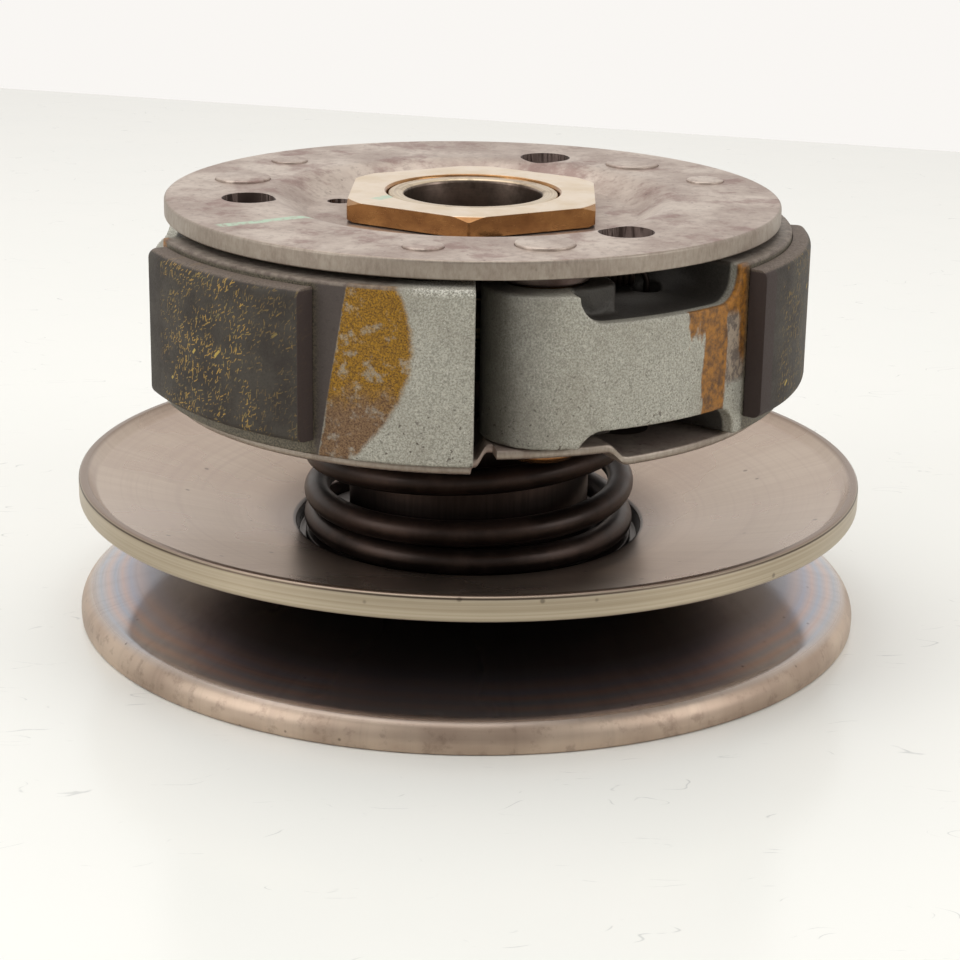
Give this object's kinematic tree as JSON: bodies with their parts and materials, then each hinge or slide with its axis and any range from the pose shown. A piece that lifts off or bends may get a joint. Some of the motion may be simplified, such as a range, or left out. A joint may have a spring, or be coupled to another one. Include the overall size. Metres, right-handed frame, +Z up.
{
  "type": "cvt driven pulley with centrifugal clutch",
  "caption": "Driven pulley of a scooter belt drive: coned fixed and sliding faces, torque cam and contra spring, and a centrifugal clutch with lined swinging shoes.",
  "frame": {"origin": "centre of the rotation axis, on the plane that the fixed face's rim rests on", "axes": "+Z up the rotation axis, from the belt faces to the clutch; -Y towards the viewer of the reference view"},
  "size_m": [0.152, 0.152, 0.0827],
  "materials": {
    "sheave_steel": "turned steel, satin, polished by the belt",
    "fixed_sheave_steel": "turned steel, satin, heat tinted near the rim",
    "plate_steel": "blanked steel, stained and slightly worn",
    "boss_steel": "ground steel",
    "bearing_steel": "ground bearing steel",
    "zinc_yellow": "yellow zinc plating, satin",
    "collar_steel": "pressed steel, oiled",
    "spring_steel": "dark oxide with a soft sheen",
    "cast_aluminium": "sand-textured casting with adhesive stains",
    "friction_lining": "moulded friction compound with short fibres",
    "rubber": "black, matte",
    "bronze": "sintered bronze, oiled"
  },
  "bodies": {
    "fixed_pulley": {"fixed_face": "fixed_sheave_steel", "fixed_boss": "boss_steel", "needle_shell": "bearing_steel", "bearing_outer_race": "bearing_steel", "bearing_snap_ring": "spring_steel", "contra_spring": "spring_steel", "upper_spring_seat": "collar_steel", "drive_plate": "plate_steel", "clutch_nut": "zinc_yellow", "side_plate": "plate_steel", "guide_pin_1": "bearing_steel", "pivot_pin_1": "plate_steel", "pin_cap_1": "zinc_yellow", "stop_pin_1": "plate_steel", "stop_rubber_1": "rubber", "return_spring_1": "spring_steel", "guide_pin_2": "bearing_steel", "pivot_pin_2": "plate_steel", "pin_cap_2": "zinc_yellow", "stop_pin_2": "plate_steel", "stop_rubber_2": "rubber", "return_spring_2": "spring_steel", "guide_pin_3": "bearing_steel", "pivot_pin_3": "plate_steel", "pin_cap_3": "zinc_yellow", "stop_pin_3": "plate_steel", "stop_rubber_3": "rubber", "return_spring_3": "spring_steel"},
    "collar": {"seal_collar": "collar_steel"},
    "movable_sheave": {"movable_face": "sheave_steel", "movable_boss": "boss_steel", "o_ring_lower": "rubber", "o_ring_upper": "rubber", "oil_seal_lower": "rubber", "oil_seal_upper": "rubber"},
    "inner_race": {"bearing_inner_race": "bearing_steel"},
    "ball_cage": {"ball_cage": "bearing_steel"},
    "needle_cage": {"needle_cage": "bearing_steel"},
    "roller_1": {"guide_roller_1": "bearing_steel"},
    "shoe_1": {"shoe_1": "cast_aluminium", "lining_1": "friction_lining", "pivot_bush_1": "bronze"},
    "roller_2": {"guide_roller_2": "bearing_steel"},
    "shoe_2": {"shoe_2": "cast_aluminium", "lining_2": "friction_lining", "pivot_bush_2": "bronze"},
    "roller_3": {"guide_roller_3": "bearing_steel"},
    "shoe_3": {"shoe_3": "cast_aluminium", "lining_3": "friction_lining", "pivot_bush_3": "bronze"}
  },
  "joints": [
    {"name": "face_slide", "type": "slide", "parent": "fixed_pulley", "child": "collar", "axis": [0, 0, 1], "range_m": [0, 0.016], "stiffness_N_per_m": 3000, "springref_m": -0.012, "deforming": ["contra_spring"]},
    {"name": "cam_twist", "type": "hinge", "parent": "collar", "child": "movable_sheave", "pos_m": [0, 0, 0.035], "axis": [0, 0, 1], "range_deg": [0, 38.5]},
    {"name": "bearing_spin", "type": "hinge", "parent": "fixed_pulley", "child": "inner_race", "pos_m": [0, 0, 0.0531], "axis": [0, 0, 1], "continuous": true},
    {"name": "ball_cage_spin", "type": "hinge", "parent": "fixed_pulley", "child": "ball_cage", "pos_m": [0, 0, 0.0531], "axis": [0, 0, 1], "continuous": true},
    {"name": "needle_cage_spin", "type": "hinge", "parent": "fixed_pulley", "child": "needle_cage", "pos_m": [0, 0, 0.019], "axis": [0, 0, 1], "continuous": true},
    {"name": "roller_1_spin", "type": "hinge", "parent": "fixed_pulley", "child": "roller_1", "pos_m": [0.0197, 0, 0.048], "axis": [1, 0, 0], "continuous": true},
    {"name": "roller_2_spin", "type": "hinge", "parent": "fixed_pulley", "child": "roller_2", "pos_m": [-0.00985, 0.01706, 0.048], "axis": [-0.5, 0.866, 0], "continuous": true},
    {"name": "roller_3_spin", "type": "hinge", "parent": "fixed_pulley", "child": "roller_3", "pos_m": [-0.00985, -0.01706, 0.048], "axis": [-0.5, -0.866, 0], "continuous": true},
    {"name": "shoe_1_swing", "type": "hinge", "parent": "fixed_pulley", "child": "shoe_1", "pos_m": [-0.04469, 0.01131, 0.0625], "axis": [0, 0, -1], "range_deg": [0, 4.5], "stiffness_Nm_per_rad": 2, "springref_deg": -5.73, "deforming": ["return_spring_1"]},
    {"name": "shoe_2_swing", "type": "hinge", "parent": "fixed_pulley", "child": "shoe_2", "pos_m": [0.01255, -0.04436, 0.0625], "axis": [0, 0, -1], "range_deg": [0, 4.5], "stiffness_Nm_per_rad": 2, "springref_deg": -5.73, "deforming": ["return_spring_2"]},
    {"name": "shoe_3_swing", "type": "hinge", "parent": "fixed_pulley", "child": "shoe_3", "pos_m": [0.03214, 0.03305, 0.0625], "axis": [0, 0, -1], "range_deg": [0, 4.5], "stiffness_Nm_per_rad": 2, "springref_deg": -5.73, "deforming": ["return_spring_3"]}
  ],
  "couplings": [
    {"joint": "cam_twist", "follows": "face_slide", "rad_per_m": 41.452}
  ]
}
